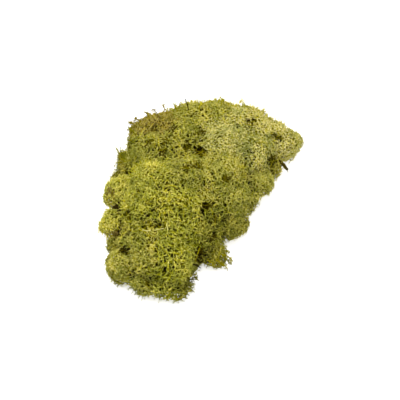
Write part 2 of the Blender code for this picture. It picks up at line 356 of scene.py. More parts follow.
class MossGrowth(bpy.types.PropertyGroup):
    """Sizes of the lichen's branches."""

    whorl_spacing: length(
        "Whorl spacing", "Distance between the whorls of tips on a dense head", 3.55 * MM, 2 * MM
    )
    podetium_spacing: length("Podetium spacing", "Distance between the main stems' crowns", 13 * MM)
    branch_spacing: length("Branch spacing", "Distance between the main branches", 6.8 * MM)
    tip_width: length("Tip width", "Width of a twig where it leaves its whorl", 0.95 * MM)
    arm_rise: length("Arm rise", "How far a whorl's arms rise towards the surface", 1.2 * MM)
    tip_length: length("Tip length", "Length of the two tips that an arm ends in", 2.3 * MM)
    stem_width: length("Stem width", "Width of a main stem at its root", 2.2 * MM)
    crown_drop: length("Crown drop", "How far the tips fall away between two crowns", 1.1 * MM)
    runner_spacing: length(
        "Runner spacing", "Distance between the long twigs that curl over the surface", 3.7 * MM
    )
    runner_length: length("Runner length", "Length of a long twig", 11.5 * MM)
    seed: bpy.props.IntProperty(
        name="Seed", description="Number that all random draws start from", default=SEED, min=0
    )


class MossStage(bpy.types.PropertyGroup):
    """The camera, lights and surroundings."""

    elevation: bpy.props.FloatProperty(
        name="Camera elevation",
        description="How far above the horizon the camera stands",
        default=math.radians(60),
        subtype="ANGLE",
        unit="ROTATION",
    )
    distance: length("Camera distance", "Distance from the camera to the point it aims at", 1.01)
    aim: bpy.props.FloatVectorProperty(
        name="Aim",
        description="The point in the middle of the picture",
        default=(-0.001, -0.0145, 0.034),
        size=3,
        subtype="TRANSLATION",
        unit="LENGTH",
    )
    lens: bpy.props.FloatProperty(
        name="Lens", description="Focal length", default=85, unit="CAMERA"
    )
    key_power: bpy.props.FloatProperty(
        name="Key light",
        description="Power of the soft light above and behind the clump",
        default=23.6,
        unit="POWER",
    )
    fill: bpy.props.FloatProperty(
        name="Fill", description="Strength of the white surroundings", default=0.3, min=0
    )


def linear(hex_colour):
    """An sRGB hex value as a linear colour with an alpha of 1."""
    parts = [int(hex_colour[i : i + 2], 16) / 255 for i in (1, 3, 5)]
    return (*(x / 12.92 if x <= 0.04045 else ((x + 0.055) / 1.055) ** 2.4 for x in parts), 1)


def add_node(tree, kind, inputs=(), **settings):
    """Adds a node, sets its properties, and sets each of its inputs or links it to a socket or to
    another node's first output."""
    node = tree.nodes.new("ShaderNode" + kind)
    for name, value in settings.items():
        setattr(node, name, value)
    for name, value in dict(inputs).items():
        if isinstance(value, bpy.types.Node):
            value = value.outputs[0]
        if isinstance(value, bpy.types.NodeSocket):
            tree.links.new(value, node.inputs[name])
        else:
            node.inputs[name].default_value = value
    return node


def blank_material(name):
    """A node material with no nodes, and its tree."""
    material = bpy.data.materials.new(name)
    material.use_nodes = True
    material.node_tree.nodes.clear()
    return material, material.node_tree


def set_stops(ramp, stops):
    """Gives a colour ramp these stops, each a place and a linear colour."""
    elements = ramp.color_ramp.elements
    while len(elements) < len(stops):
        elements.new(0.5)
    for element, (place, colour) in zip(elements, stops):
        element.position = place
        element.color = colour


def finish_surface(tree, height, strength, distance, inputs):
    """Ends a material: its relief, as deep as the distance, and its shader with these inputs."""
    bump = add_node(tree, "Bump", {"Height": height, "Strength": strength, "Distance": distance})
    shader = add_node(tree, "BsdfPrincipled", {**inputs, "Normal": bump})
    add_node(tree, "OutputMaterial", {"Surface": shader})


def even_directions(count, turn):
    """Directions spread evenly over a sphere, along a golden-angle spiral."""
    step = np.arange(count) + 0.5
    height = 1 - 2 * step / count
    around = GOLDEN_ANGLE * step + turn
    flat = np.sqrt(1 - height**2)
    return np.stack([flat * np.cos(around), flat * np.sin(around), height], 1)


def size(vectors):
    return np.linalg.norm(vectors, axis=-1)


def unit(vectors):
    return vectors / np.maximum(size(vectors)[..., None], 1e-12)


def around(side, up, angle):
    """Where each pair of unit vectors points at this angle."""
    return side * np.cos(angle)[:, None] + up * np.sin(angle)[:, None]


def across(axes, rng):
    """Two unit vectors square to each axis and to each other, turned at random."""
    side = unit(np.cross(axes, rng.normal(size=axes.shape)))
    return side, np.cross(axes, side)


def nearest(points, others):
    """The index of the nearest of the others to each point, and how far off it is."""
    gaps = size(points[:, None] - others[None])
    found = gaps.argmin(1)
    return found, gaps[np.arange(len(points)), found]


class View:
    """The stage's camera, to find what the photograph shows at a pixel."""

    def __init__(self, stage):
        tilt = stage.elevation
        self.back = np.array([0, -math.cos(tilt), math.sin(tilt)])
        self.axes = np.array([[1, 0, 0], [0, -math.sin(tilt), -math.cos(tilt)]])
        self.place = np.array(stage.aim) + self.back * stage.distance
        self.scale = PHOTO_SIDE * stage.lens * MM / SENSOR

    def pixels(self, points):
        """The pixel of each point, and how far it is from the camera."""
        seen = points - self.place
        depth = -seen @ self.back
        return PHOTO_SIDE / 2 + seen @ self.axes.T * self.scale / depth[:, None], depth

    def point(self, pixel, depth):
        """The point that a pixel shows at this depth."""
        aside = (np.array(pixel) - PHOTO_SIDE / 2) / self.scale
        return self.place + (aside @ self.axes - self.back) * depth


class Outline:
    """The convex outline of one solid, with its edges softened."""

    def __init__(self, mesh, fill):
        self.fill = fill
        shape = bmesh.new()
        for vertex in mesh.vertices:
            shape.verts.new(vertex.co)
        found = bmesh.ops.convex_hull(shape, input=shape.verts)
        loose = [g for g in found["geom_interior"] if isinstance(g, bmesh.types.BMVert)]
        bmesh.ops.delete(shape, geom=loose, context="VERTS")
        bmesh.ops.recalc_face_normals(shape, faces=shape.faces)
        planes = {}
        for face in shape.faces:
            offset = face.normal.dot(face.verts[0].co)
            key = tuple(round(x, 1) for x in (*face.normal * 20, offset / MM))
            planes[key] = (*face.normal, offset)
        spots = np.array([v.co for v in shape.verts])
        shape.free()
        planes = np.array(list(planes.values()))
        self.normals, self.offsets = planes[:, :3], planes[:, 3]
        self.low, self.high = spots.min(0), spots.max(0)
        self.middle = (self.low + self.high) / 2
        self.radius = size(spots - self.middle).max()

    def outside(self, points):
        """How far each point is outside the outline, less than 0 inside, and the way out."""
        over = (points @ self.normals.T - self.offsets) / EDGE_SOFTNESS
        most = over.max(1, keepdims=True)
        part = np.exp(over - most)
        total = part.sum(1, keepdims=True)
        away = (most + np.log(total / EDGE_FACES))[:, 0] * EDGE_SOFTNESS
        return away, part @ self.normals / total


class Clump:
    """All the outlines as one form, whose creases are filled where one meets another."""

    def __init__(self, outlines):
        self.outlines = outlines

    def near(self, own):
        gap = NEIGHBOUR_GAP + own.radius
        return [
            o
            for o in self.outlines
            if o is own or np.linalg.norm(o.middle - own.middle) < gap + o.radius
        ]

    def surface(self, own, directions):
        """Where each way from own's middle meets the surface, the way out, and whether it is own's."""
        near = self.near(own)
        inner = np.zeros(len(directions))
        outer = np.full(len(directions), own.radius + CREASE_FILL * 3)
        for _ in range(HALVINGS):
            middle = (inner + outer) / 2
            points = own.middle + directions * middle[:, None]
            away = np.stack([o.outside(points)[0] for o in near])
            field = -own.fill * np.log(np.exp(-away / own.fill).sum(0))
            inner = np.where(field < 0, middle, inner)
            outer = np.where(field < 0, outer, middle)
        points = own.middle + directions * inner[:, None]
        both = [o.outside(points) for o in near]
        away = np.stack([x[0] for x in both])
        pull = np.exp(-away / own.fill)
        out = unit((pull[:, :, None] * np.stack([x[1] for x in both])).sum(0))
        behind = away[near.index(own)] - away.min(0) + (points[:, 2] < 0)
        # A head that the ones round it nearly bury still shows the few spots where it is nearest.
        least = np.sort(behind)[min(LEAST_SPOTS, len(behind)) - 1]
        return points, out, behind < max(SHARED_EDGE, least)


class Twigs:
    """Branches of one piece, each a line of points with a width, an age and a tint."""

    def __init__(self, rng):
        self.rng = rng
        self.points, self.faces, self.corners = [], [], []
        self.age, self.tint, self.ring = [], [], []
        self.count = 0

    def add(self, paths, widths, ages, tints, pointed, sides=3):
        """Adds branches with the same number of points. Widths and ages are arrays, or what they are at
        the start and end of every branch. A pointed branch ends in a tip."""
        many, steps = paths.shape[:2]
        if not many:
            return
        widths, ages = (
            np.tile(np.linspace(*x, steps), (many, 1)) if isinstance(x, tuple) else x
            for x in (widths, ages)
        )
        ahead = unit(np.gradient(paths, axis=1))
        side, up = across(ahead[:, 0], self.rng)
        rings = steps - 1 if pointed else steps
        turn = 2 * math.pi * np.arange(sides) / sides
        ring = []
        for i in range(rings):
            side = unit(side - ahead[:, i] * (side * ahead[:, i]).sum(1, keepdims=True))
            up = np.cross(ahead[:, i], side)
            out = around(side[:, None], up[:, None], turn)
            ring.append(paths[:, i, None] + out * widths[:, i, None, None] / 2)
        body = np.stack(ring, 1).reshape(many, rings * sides, 3)
        age = np.repeat(ages[:, :rings], sides, axis=1)
        if pointed:
            body = np.concatenate([body, paths[:, -1:]], 1)
            age = np.concatenate([age, ages[:, -1:]], 1)
        per = body.shape[1]
        first = self.count + per * np.arange(many)[:, None, None]
        k = np.arange(sides)
        after = (k + 1) % sides
        base = sides * np.arange(rings - 1)[:, None]
        quads = np.stack([base + k, base + after, base + sides + after, base + sides + k], 2)
        self.faces.append((first + quads.reshape(1, -1, 4)).reshape(-1, 4))
        self.points.append(body.reshape(-1, 3))
        self.age.append(age.ravel())
        self.tint.append(np.repeat(tints, per))
        self.ring.append(np.tile(np.arange(per) % sides / sides, many))
        if pointed:
            last = sides * (rings - 1)
            tips = np.stack([last + k, last + after, np.full(sides, per - 1)], 1)
            self.corners.append((first + tips[None]).reshape(-1, 3))
        self.count += many * per

    def add_solid(self, points, corners, ages, tints):
        """Adds a plain triangle mesh."""
        self.points.append(points)
        self.corners.append(self.count + corners)
        self.age.append(ages)
        self.tint.append(tints)
        self.ring.append(np.arange(len(points)) % 3 / 3)
        self.count += len(points)

    def object(self, name, material):
        """The branches as one mesh object."""
        points = np.concatenate(self.points)
        quads, tips = np.concatenate(self.faces), np.concatenate(self.corners)
        loops = np.concatenate([quads.ravel(), tips.ravel()]).astype(np.int32)
        starts = np.concatenate([4 * np.arange(len(quads)), quads.size + 3 * np.arange(len(tips))])
        mesh = bpy.data.meshes.new(name)
        mesh.vertices.add(len(points))
        mesh.vertices.foreach_set("co", points.astype(np.float32).ravel())
        mesh.loops.add(len(loops))
        mesh.loops.foreach_set("vertex_index", loops)
        mesh.polygons.add(len(starts))
        mesh.polygons.foreach_set("loop_start", starts.astype(np.int32))
        mesh.update(calc_edges=True)
        mesh.validate()
        mesh.shade_smooth()
        age = np.concatenate(self.age)
        tint = np.concatenate(self.tint)
        for key, values in (("age", age), ("tint", tint)):
            layer = mesh.attributes.new(key, "FLOAT", "POINT")
            layer.data.foreach_set("value", values.astype(np.float32))
        # The baked picture is laid out by tint and age, so each of the many small faces has room.
        across_map = 0.05 + 0.8 * tint + 0.1 * np.concatenate(self.ring)
        up_map = 0.03 + 0.94 * age
        layout = mesh.uv_layers.new(name="OFBake")
        layout.uv.foreach_set(
            "vector", np.stack([across_map, up_map], 1)[loops].astype(np.float32).ravel()
        )
        return mesh_object(mesh, material)


def mesh_object(mesh, material):
    """An object in the scene that shows the mesh in this material."""
    mesh.materials.append(material)
    piece = bpy.data.objects.new(mesh.name, mesh)
    bpy.context.scene.collection.objects.link(piece)
    return piece


def shape_object(shape, name, material):
    """An object made from a bmesh, which is then freed."""
    mesh = bpy.data.meshes.new(name)
    shape.to_mesh(mesh)
    shape.free()
    return mesh_object(mesh, material)


def swell(points, wave, seed):
    """A smooth random field from -1 to 1 whose bumps are about a wave wide."""
    rng = np.random.default_rng(seed)
    ways = unit(rng.normal(size=(9, 3))) * 2 * math.pi / wave * rng.uniform(0.7, 1.5, (9, 1))
    return np.sin(points @ ways.T + rng.uniform(0, 2 * math.pi, 9)).sum(1) / 4


def bowed(start, end, bow, rng, steps=3):
    """Paths from start to end that bend aside by about a bow."""
    share = np.linspace(0, 1, steps)[None, :, None]
    side, _ = across(unit(end - start), rng)
    lean = side * (bow * rng.uniform(0.3, 1, len(start)))[:, None]
    return start[:, None] * (1 - share) + end[:, None] * share + lean[:, None] * (4 * share * (1 - share))


def surface_spots(clump, own, spacing, rng):
    """Many spots on the clump's surface where it belongs to own, and the way out at each."""
    points, out, mine = clump.surface(own, even_directions(200, 0))
    reach = points - own.middle
    area = 4 * math.pi * (reach**2).sum(1) / np.maximum((unit(reach) * out).sum(1), 0.25)
    count = int(CROWDING * area[mine].mean() / spacing**2)
    ways = even_directions(count, rng.uniform(0, 2 * math.pi))
    ways = unit(ways + rng.normal(size=ways.shape) / math.sqrt(count))
    points, out, mine = clump.surface(own, rng.permutation(ways))
    return points[mine], out[mine]


def point_tree(points):
    """A search tree that gives each point by its index."""
    tree = KDTree(len(points))
    for i, point in enumerate(points):
        tree.insert(point, i)
    tree.balance()
    return tree


def thinned(points, spacing):
    """The indices of points picked so that none is nearer to an earlier one than its spacing."""
    tree = point_tree(points)
    free, kept = np.ones(len(points), bool), []
    for i, point in enumerate(points):
        if free[i]:
            kept.append(i)
            for _, j, _ in tree.find_range(point, spacing[i]):
                free[j] = False
    return np.array(kept)


class Plan(NamedTuple):
    """What one head carries: spots with the way out at each, its strays with their paths, and each
    hole's middle, way out and radius."""

    spots: dict
    strays: list
    hollows: list


def plan_growth(names, outlines, clump, growth, view):
    """What each head carries, with spots that keep an even distance over the whole clump, whichever
    head they belong to. It also gives the patches as places in space."""
    rng = np.random.default_rng(growth.seed)
    spots = [surface_spots(clump, outlines[n], growth.whorl_spacing, rng) for n in names]
    owner = np.repeat(np.arange(len(names)), [len(p) for p, _ in spots])
    points, out = (np.concatenate(x) for x in zip(*spots))
    order = rng.permutation(len(points))
    points, out, owner = points[order], out[order], owner[order]
    loose = openness(points, out, view)
    # The side that lies on the floor is sparser, as it is pressed flat and half dead.
    sparse = 1 + 0.5 * (out[:, 2] < UNDERSIDE)
    plan = {n: Plan({}, [], []) for n in names}
    even = np.ones(len(points))
    crowns = points[thinned(points, growth.podetium_spacing * even)]
    points = points - out * sunk(points, out, crowns, growth, view)[:, None]
    spacings = {
        "crowns": growth.podetium_spacing * even,
        "boughs": growth.branch_spacing * even,
        "runners": growth.runner_spacing * (1 + 0.2 * loose) * sparse,
    }
    for layer in LAYERS:
        spacings[layer.name] = growth.whorl_spacing * layer.spacing * (1 + 0.45 * loose) * sparse
    for level, spacing in spacings.items():
        kept = thinned(points, spacing)
        for i, name in enumerate(names):
            own = kept[owner[kept] == i]
            plan[name].spots[level] = points[own], out[own]
    pixels, depth = view.pixels(points)

    def seen(pixel):
        """The spot that is nearest to the camera around a pixel."""
        off = size(pixels - pixel)
        return np.where(off < max(3, 1.3 * off.min()), depth, np.inf).argmin()

    def placed(place):
        """The spot at a place, and the place's middle and radius in space."""
        i = seen(place[:2])
        return i, view.point(place[:2], depth[i]), place.radius * depth[i] / view.scale

    for place in HOLLOWS.values():
        i, middle, radius = placed(place)
        plan[names[owner[i]]].hollows.append((middle, out[i], radius))
    share = np.array(STRAY_SHARES)[:, None]
    for stray in STRAYS.values():
        line = (1 - share) * stray[:2] + share * np.array(stray[2:4])
        found = [seen(p) for p in line]
        # Past the rim there is no spot under the twig, so it keeps the depth that it left at.
        far = depth[found]
        off = size(pixels[found] - line)
        far = np.where(off < 3, far, far[0]) - 0.5 * MM
        path = np.array([view.point(p, d) for p, d in zip(line, far)])
        path[0] -= out[found[0]] * 4 * MM
        plan[names[owner[found[0]]]].strays.append((stray, path))
    return plan, [(*placed(patch)[1:], patch.amount) for patch in PATCHES.values()]


def sunk(points, out, crowns, growth, view):
    """How far the tips lie under the outline: further between two crowns, and unevenly as in nature."""
    tree = point_tree(crowns)
    off = np.array([tree.find(p)[2] for p in points])
    drop = growth.crown_drop * np.clip(off / (0.6 * growth.podetium_spacing), 0, 1.4) ** 2
    return drop - rolling(points) + amount_at(DENTS, points, out, view)


def rolling(points):
    """The gentle rise and fall of the clump at each point."""
    return 1.4 * MM * swell(points, 24 * MM, 5) + 0.5 * MM * swell(points, 9 * MM, 6) - 0.6 * MM


def amount_at(places, points, out, view):
    """How much of the places there is at each point, on the side that the camera sees."""
    pixels, _ = view.pixels(points)
    facing = np.clip(1 + 1.5 * out @ view.back, 0, 1)
    total = np.zeros(len(points))
    for place in places.values():
        off = size(pixels - place[:2]) / place.radius
        total += place.amount * np.exp(-(off**2))
    return total * facing


def openness(points, out, view):
    """How loosely the twigs stand at each point, from -0.6 where they are closest to 1.5."""
    natural = 0.3 * swell(points, 26 * MM, 21) - 0.05
    return np.clip(natural + amount_at(OPENINGS, points, out, view), -0.6, 1.5)


def hollow(points, out, view):
    """Which points lie in a hole in the green."""
    pixels, _ = view.pixels(points)
    ragged = 1 + 0.35 * swell(points, 5 * MM, 31)
    inside = np.zeros(len(points), bool)
    for place in HOLLOWS.values():
        inside |= size(pixels - place[:2]) < place.radius * ragged
    return inside & (out @ view.back > 0)


def grow_head(name, own, plan, patches, growth, view, clump):
    """One head: stems that fork three times, whorls of tips at the surface, long twigs that curl over
    them, and a core of packed litter whose near-black colour is partly painted shade."""
    rng = np.random.default_rng([growth.seed, sum(map(ord, name))])
    spots = plan.spots
    crowns, _ = spots["crowns"] if len(spots["crowns"][0]) else spots["tips"]
    boughs, bough_out = spots["boughs"] if len(spots["boughs"][0]) else spots["tips"]
    root = own.middle * np.array([0.92, 0.92, 1])
    root[2] = own.low[2] + 0.3 * (own.middle[2] - own.low[2])
    root = own.middle + (root - own.middle) * 0.7
    head_tint = rng.normal(0, 0.07)

    def lowered(points, out, depth):
        """Points at about this depth under the tips."""
        depth = depth + rng.uniform(-0.5, 0.5, len(points)) * MM
        return above_floor(points - out * depth[:, None], 1.2 * MM)

    def tint_of(points):
        """Paler towards the back of the clump, which paints shade on the front, with patches of real dye
        and of painted shade and light, and no two twigs quite alike.
        """
        # The rise of tint towards the back is painted shade on the front of the clump.
        tint = 0.37 + head_tint + 0.15 * swell(points, 30 * MM, 3) + 0.9 * points[:, 1]
        tint = np.clip(tint + rng.normal(0, 0.12, len(points)), 0, FRESH)
        # The rusty patches and the green tuft are real dye; the other patches are painted shade and painted
        # light.
        for middle, radius, amount in patches:
            off = size(points - middle) / (PATCH_REACH * radius)
            inside = rng.uniform(0.3, 1.1, len(points)) > off
            tint = np.where(inside, amount + rng.normal(0, 0.07, len(points)), tint)
        return np.clip(tint, 0, 1)

    def open_spots(level, holes=True):
        """The level's spots that are in no hole, the way out there and how loosely the twigs stand."""
        points, out = spots[level]
        kept = ~(hollow(points, out, view) & holes)
        points, out = points[kept], out[kept]
        return points, out, openness(points, out, view)

    bough = lowered(boughs, bough_out, 8.5 * MM)
    stem = root + (crowns - root) * 0.45
    layers = []
    for layer in LAYERS:
        points, out, loose = open_spots(layer.name, layer.forked)
        nodes = lowered(points, out, layer.depth * (1 + 0.3 * loose))
        layers.append((layer, nodes, out, loose[:, None], nearest(nodes, bough)[0]))
    used = np.unique(np.concatenate([x[4] for x in layers]))
    bough_parent, _ = nearest(bough, stem)
    used_stems = np.unique(bough_parent[used])

    # Stems from the root, then boughs, then the stalks that carry the whorls.
    twigs = Twigs(rng)
    starts = root + (stem[used_stems] - root) * 0.12
    wide, middle, thin = growth.stem_width, 0.7 * growth.stem_width, growth.tip_width
    paths = bowed(starts, stem[used_stems], 2 * MM, rng, 4)
    twigs.add(paths, (wide, middle), (0.02, 0.2), tint_of(stem[used_stems]), False, 4)
    paths = bowed(stem[bough_parent[used]], bough[used], 1.4 * MM, rng)
    twigs.add(paths, (middle, 1.15 * thin), (0.18, 0.36), tint_of(bough[used]), False)
    for layer, nodes, out, loose, parents in layers:
        tint = tint_of(nodes)
        paths = bowed(bough[parents], nodes, 0, rng, 2)
        twigs.add(paths, (1.15 * thin, thin), (0.34, 0.7 * layer.youth), tint, False)
        add_whorls(twigs, nodes, out, tint, layer, loose, growth)
    points, out, loose = open_spots("runners")
    nodes = lowered(points, out, 0.4 * MM)
    add_runners(twigs, nodes, out, tint_of(points), loose[:, None], growth)
    points, out, loose = open_spots("boughs")
    long = loose > STRAND_LOOSENESS
    nodes, out, loose = lowered(points, out, -0.3 * MM)[long], out[long], loose[long, None]
    paler = np.minimum(tint_of(nodes) + rng.uniform(0, 0.3, len(nodes)), STRAND_TINT)
    add_runners(twigs, nodes, out, paler, loose + 1, growth)
    if name.startswith(FRINGED_HEADS):
        points, out = spots["tips"]
        turn = out @ view.back
        rim = (turn > RIM_TURNS[0]) & (turn < RIM_TURNS[1])
        points, out = points[rim], unit(out - view.back * turn[:, None])[rim]
        add_sprigs(twigs, lowered(points, out, 0.8 * MM), out, tint_of(points), growth)
    for stray, path in plan.strays:
        tint = np.array([BLEACHED]) if stray.age == 1 else tint_of(path[:1])
        add_stray(twigs, stray, path, tint, growth)
    for middle, out, radius in plan.hollows:
        add_bare_twigs(twigs, middle, out, radius, growth)
    add_core(twigs, own, clump, view)
    return twigs


def add_whorls(twigs, nodes, out, tint, layer, loose, growth):
    """A whorl of curved arms at each node, each arm forked into two short tips or ending in one."""
    rng, count, thin, youth = twigs.rng, len(nodes), growth.tip_width, layer.youth
    side, up = across(out, rng)
    for arm in range(layer.arms):
        angle = 2 * math.pi * arm / layer.arms + rng.uniform(-0.5, 0.5, count)
        flat = around(side, up, angle)
        twist = side * -np.sin(angle)[:, None] + up * np.cos(angle)[:, None]
        reach = layer.arm * (1 + 0.35 * loose) * rng.uniform(0.6, 1.4, count)[:, None]
        rise = growth.arm_rise * rng.uniform(0.2, 1.5, count)[:, None]
        swing = twist * reach * rng.uniform(-0.7, 0.7, count)[:, None]
        bend = nodes + flat * 0.55 * reach + out * 0.4 * rise
        end = nodes + flat * 0.95 * reach + swing + out * rise
        arm_path = above_floor(np.stack([nodes, bend, end], 1))
        arm_tint = np.where(tint < FRESH, np.clip(tint + rng.normal(0, 0.15, count), 0, FRESH), tint)
        ages = (0.7 * youth, 0.9 * youth)
        twigs.add(arm_path, (thin, 0.85 * thin), ages, arm_tint, not layer.forked)
        for turn in (-1, 1) * layer.forked:
            lean = turn * rng.uniform(0.2, 1.2, count)[:, None]
            ahead = unit(flat + lean * twist + out * rng.uniform(-0.4, 0.6, count)[:, None])
            add_tip(twigs, arm_path[:, -1], ahead, youth, arm_tint, growth)


def add_tip(twigs, starts, ahead, youth, tint, growth):
    """A short pointed tip at each start."""
    length = growth.tip_length * twigs.rng.uniform(0.6, 1.3, len(starts))[:, None]
    path = above_floor(np.stack([starts - 0.15 * length * ahead, starts + length * ahead], 1))
    twigs.add(path, (0.9 * growth.tip_width, 0), (0.86 * youth, youth), tint, True)


def add_runners(twigs, nodes, out, tint, loose, growth):
    """A long twig through each node, that rises from below, curls over the surface and forks."""
    rng, count, thin = twigs.rng, len(nodes), growth.tip_width
    # Neighbouring twigs curl the same way, as if brushed.
    flow = np.stack([swell(nodes, 38 * MM, k) for k in (11, 12, 13)], 1) + rng.normal(0, 0.2, nodes.shape)
    heading = unit(np.cross(out, flow))
    aside = np.cross(out, heading)
    length = growth.runner_length * (1 + 0.3 * loose) * rng.uniform(0.6, 1.3, count)[:, None]
    curl = rng.uniform(0.05, 0.32, count)[:, None] * rng.choice([-1, 1], (count, 1))
    path = []
    for share, depth in ((0, 4.5), (0.2, 1.8), (0.45, 0.4), (0.7, 0.2), (1, 0.6)):
        along = (share - 0.5) * length
        fall = depth * MM + along**2 / (2 * HEAD_RADIUS)
        path.append(nodes + heading * along + aside * curl * along**2 / length * 2 - out * fall)
    path = np.stack(path, 1)
    path = above_floor(path + rng.normal(0, 0.25 * MM, path.shape))
    youth = rng.uniform(0.85, 1.0, count)[:, None]
    width = np.linspace(1.2 * thin, 0.7 * thin, 5) * (1 + 0.12 * loose)
    twigs.add(path, width, np.linspace(0.4, 1, 5) * youth, tint, True)
    for step, turn in ((1, 1), (2, -1), (2, 1), (3, -1), (3, 1)):
        forward = unit(path[:, step + 1] - path[:, step])
        lean = turn * rng.uniform(0.3, 1.1, count)[:, None] * np.cross(out, forward)
        ahead = unit(forward + lean + out * rng.uniform(-0.3, 0.4, count)[:, None])
        add_tip(twigs, path[:, step], ahead, 1.0, tint, growth)


def add_sprigs(twigs, nodes, out, tint, growth):
    """Fine sprigs that stand up from the nodes, each with two pairs of tips."""
    rng, count = twigs.rng, len(nodes)
    lean, _ = across(out, rng)
    ahead = unit(out + lean * rng.uniform(0, 0.9, (count, 1)))
    height = rng.uniform(2.5, 6, (count, 1)) * MM
    path = above_floor(bowed(nodes, nodes + ahead * height, 0.7 * MM, rng))
    width = 0.85 * growth.tip_width
    twigs.add(path, (width, 0.7 * width), (0.5, 0.8), tint, True)
    for step in (1, 1, 2, 2):
        way = unit(ahead + 0.8 * rng.normal(size=ahead.shape))
        add_tip(twigs, path[:, step] - 0.1 * height * ahead, way, 0.8, tint, growth)


def add_stray(twigs, stray, path, tint, growth):
    """One twig that stands out, with side twigs along its outer part that fork in turn."""
    rng = twigs.rng
    path = above_floor(path[None] + rng.normal(0, STRAY_WOBBLE, (1, *path.shape)))
    width = stray.width * MM
    twigs.add(path, (width, 0.65 * width), (0.85 * stray.age, stray.age), tint, True, 5)
    if not stray.side_twigs:
        return
    place = rng.uniform(0.25, 0.75, stray.side_twigs) * (path.shape[1] - 1)
    step = place.astype(int)
    part = (place - step)[:, None]
    starts = path[0, step] * (1 - part) + path[0, step + 1] * part
    forward = unit(path[0, step + 1] - path[0, step])
    ahead = unit(forward + rng.normal(0, 0.7, forward.shape))
    length = 3.2 * MM * rng.uniform(0.6, 1.3, (len(starts), 1))
    ends = starts + ahead * length
    tints = np.repeat(tint, len(starts))
    paths = above_floor(bowed(starts, ends, 0.6 * MM, rng))
    ages = (0.9 * stray.age, min(1, stray.age + 0.1))
    twigs.add(paths, (growth.tip_width, 0.85 * growth.tip_width), ages, tints, False)
    for _ in range(3):
        add_tip(twigs, ends, unit(ahead + rng.normal(0, 0.6, ahead.shape)), stray.age, tints, growth)


def add_bare_twigs(twigs, middle, out, radius, growth):
    """Dead twigs that cross a hole under the green ones."""
    rng, count = twigs.rng, BARE_TWIGS
    along, aside = across(np.tile(out, (count, 1)), rng)
    centre = middle - out * rng.uniform(1.5 * MM, 7.5 * MM, (count, 1))
    centre = centre + aside * rng.uniform(-0.8, 0.8, (count, 1)) * radius
    half = along * (radius + 3 * MM) * rng.uniform(0.8, 1.3, (count, 1))
    tilt = out * rng.uniform(-1.5 * MM, 1.5 * MM, (count, 1))
    paths = bowed(centre - half - tilt, centre + half + tilt, 1.5 * MM, rng, 4)
    width = growth.tip_width * rng.uniform(0.7, 1.3, (count, 1))
    age = rng.uniform(0.15, 0.55, (count, 1))
    twigs.add(above_floor(paths), width * np.ones(4), age * np.ones(4), rng.uniform(0.3, 0.6, count), True)


def add_core(twigs, own, clump, view):
    """The packed, half-rotted inside of a head, well under its twigs, so that no light comes through.
    Its near-black colour is partly dead litter and partly painted shade.
    """
    ball = bmesh.new()
    bmesh.ops.create_icosphere(ball, subdivisions=3, radius=1)
    ways = np.array([v.co for v in ball.verts])
    faces = np.array([[v.index for v in f.verts] for f in ball.faces])
    ball.free()
    points, out, _ = clump.surface(own, unit(ways))
    crumbs = swell(points, 7 * MM, 7) + swell(points, 3 * MM, 8)
    deep = CORE_DEPTH * (1 + 0.5 * openness(points, out, view).clip(0)) - crumbs * MM - rolling(points)
    points = points - out * (amount_at(DENTS, points, out, view) + deep)[:, None]
    points = above_floor(points, 1.5 * MM)
    # The low age makes the core near black: partly dead litter and partly painted shade.
    age = 0.07 + 0.06 * swell(points, 5 * MM, 9)
    twigs.add_solid(points, faces, age.clip(0.005, 0.4), (0.4 + 0.2 * swell(points, 9 * MM, 4)).clip(0, 0.7))


def above_floor(points, height=0.6 * MM):
    """The points, with what would be lower than this over the floor raised to it."""
    points[..., 2] = np.maximum(points[..., 2], height)
    return points


# How old a twig is at the dead root, the old stem, the living twig and its tip, from 0 to 1, and the
# colours there for each slot. The darker colours deep in a head are partly painted shade.
AGE_STOPS = (0.0, 0.35, 0.7, 1.0)
LICHEN_SLOTS = {
    "lichen_yellow": ("#180f02", "#443c03", "#a19b0b", "#d2cd6c"),
    "lichen_olive": ("#180f02", "#423a03", "#96900e", "#c9c36e"),
    "lichen_pale": ("#1a1104", "#464007", "#9f991d", "#d4cf8a"),
    "lichen_dark": ("#160d02", "#383103", "#827d0a", "#b7b15a"),
    "lichen_brown": ("#1a1003", "#3f3206", "#867b12", "#b3a75c"),
}
# The highest tint of a fresh twig, and that of a bare one that the light has bleached.
FRESH = 0.6
BLEACHED = 0.7
# How a tint changes the colours above: painted shade, darker and greener, at 0, then fresh, bleached,
# and rusty at 1.
DYE_AND_SHADE = (
    (0.0, (0.375, 0.415, 0.30)),
    (0.3, (0.63, 0.655, 0.57)),
    (FRESH, (1.01, 0.955, 0.97)),
    (BLEACHED, (1.02, 1.0, 1.5)),
    (0.78, (0.36, 0.335, 0.42)),
    (1.0, (0.32, 0.25, 0.32)),
)


